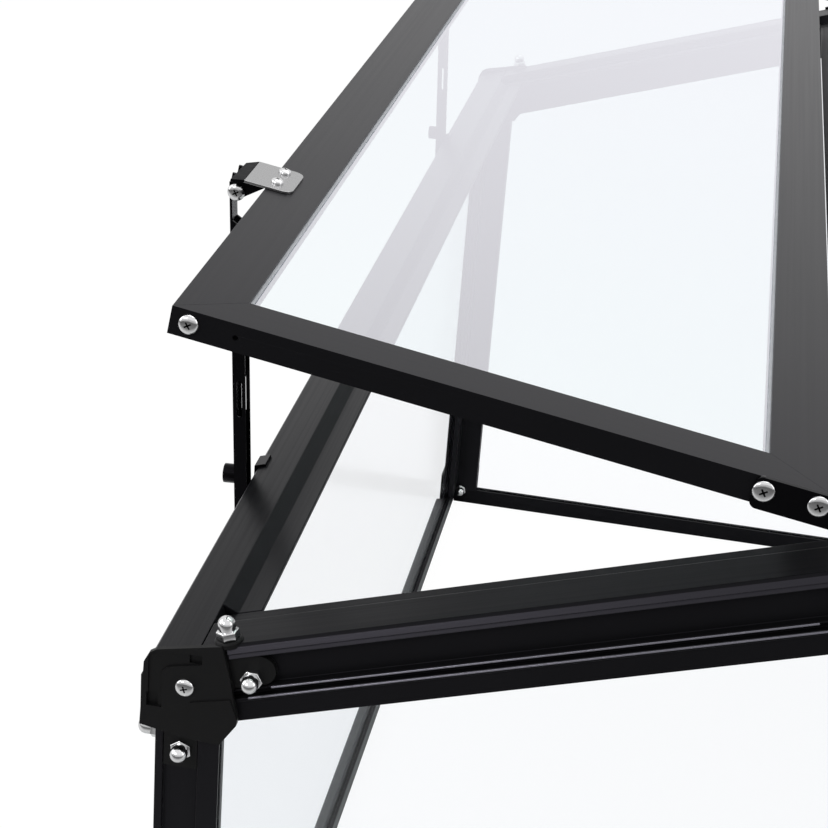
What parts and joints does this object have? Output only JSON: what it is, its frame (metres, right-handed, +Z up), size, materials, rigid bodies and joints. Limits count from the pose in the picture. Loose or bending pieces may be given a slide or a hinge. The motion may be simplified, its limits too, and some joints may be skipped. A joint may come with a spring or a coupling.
{
  "type": "greenhouse",
  "caption": "Small two-pitch glass greenhouse on a slim black aluminium frame, with a framed glass lid on each roof pitch held open by slotted side stays.",
  "frame": {"origin": "on the ground, under the middle of the ridge", "axes": "+X across the ridge, +Y along the ridge away from the near gable, +Z up"},
  "size_m": [0.8046, 1.2074, 0.6925],
  "materials": {
    "black_aluminium": "satin black powder coat",
    "black_plastic": "moulded, satin",
    "black_steel": "gloss black coat",
    "bright_steel": "plated, bright",
    "glass": "clear, toughened"
  },
  "bodies": {
    "frame": {"bottom_rail_far": "black_aluminium", "bottom_rail_left": "black_aluminium", "bottom_rail_near": "black_aluminium", "bottom_rail_right": "black_aluminium", "eave_fitting_left_far": "black_plastic", "eave_fitting_left_near": "black_plastic", "eave_fitting_right_far": "black_plastic", "eave_fitting_right_near": "black_plastic", "eave_rail_left": "black_aluminium", "eave_rail_right": "black_aluminium", "foot_fitting_left_far": "black_plastic", "foot_fitting_left_near": "black_plastic", "foot_fitting_right_far": "black_plastic", "foot_fitting_right_near": "black_plastic", "gable_pane_far": "glass", "gable_pane_near": "glass", "hinge_bracket_far": "black_steel", "hinge_bracket_near": "black_steel", "post_left_far": "black_aluminium", "post_left_near": "black_aluminium", "post_right_far": "black_aluminium", "post_right_near": "black_aluminium", "rafter_left_far": "black_aluminium", "rafter_left_near": "black_aluminium", "rafter_right_far": "black_aluminium", "rafter_right_near": "black_aluminium", "ridge_beam": "black_aluminium", "ridge_fitting_far": "black_plastic", "ridge_fitting_near": "black_plastic", "side_pane_left": "glass", "side_pane_right": "glass", "stay_clips_left": "black_steel", "stay_clips_right": "black_steel"},
    "lid_left": {"lid_left_far_bar": "black_aluminium", "lid_left_high_bar": "black_aluminium", "lid_left_hinge_plates": "black_steel", "lid_left_low_bar": "black_aluminium", "lid_left_near_bar": "black_aluminium", "lid_left_pane": "glass", "lid_left_stay_brackets": "bright_steel", "lid_left_stay_lugs": "black_steel"},
    "lid_right": {"lid_right_far_bar": "black_aluminium", "lid_right_high_bar": "black_aluminium", "lid_right_hinge_plates": "black_steel", "lid_right_low_bar": "black_aluminium", "lid_right_near_bar": "black_aluminium", "lid_right_pane": "glass", "lid_right_stay_brackets": "bright_steel", "lid_right_stay_lugs": "black_steel"},
    "stay_left_far": {"stay_left_far": "black_steel"},
    "stay_left_near": {"stay_left_near": "black_steel"},
    "stay_right_far": {"stay_right_far": "black_steel"},
    "stay_right_near": {"stay_right_near": "black_steel"}
  },
  "joints": [
    {"name": "lid_left_hinge", "type": "hinge", "parent": "frame", "child": "lid_left", "pos_m": [-0.02307, 0, 0.62324], "axis": [0, 1, 0], "range_deg": [-26.65, 0]},
    {"name": "stay_left_near_pivot", "type": "hinge", "parent": "lid_left", "child": "stay_left_near", "pos_m": [-0.39722, -0.38, 0.6805], "axis": [0, 1, 0], "range_deg": [0, 34.5]},
    {"name": "stay_left_far_pivot", "type": "hinge", "parent": "lid_left", "child": "stay_left_far", "pos_m": [-0.39722, 0.38, 0.6805], "axis": [0, 1, 0], "range_deg": [0, 34.5]},
    {"name": "lid_right_hinge", "type": "hinge", "parent": "frame", "child": "lid_right", "pos_m": [0.02307, 0, 0.62324], "axis": [0, -1, 0], "range_deg": [-26.65, 0]},
    {"name": "stay_right_near_pivot", "type": "hinge", "parent": "lid_right", "child": "stay_right_near", "pos_m": [0.39722, -0.38, 0.6805], "axis": [0, -1, 0], "range_deg": [0, 34.5]},
    {"name": "stay_right_far_pivot", "type": "hinge", "parent": "lid_right", "child": "stay_right_far", "pos_m": [0.39722, 0.38, 0.6805], "axis": [0, -1, 0], "range_deg": [0, 34.5]}
  ],
  "couplings": [
    {"joint": "stay_left_near_pivot", "follows": "lid_left_hinge", "ratio": -1.2777},
    {"joint": "stay_left_far_pivot", "follows": "lid_left_hinge", "ratio": -1.2777},
    {"joint": "stay_right_near_pivot", "follows": "lid_right_hinge", "ratio": -1.2777},
    {"joint": "stay_right_far_pivot", "follows": "lid_right_hinge", "ratio": -1.2777}
  ]
}
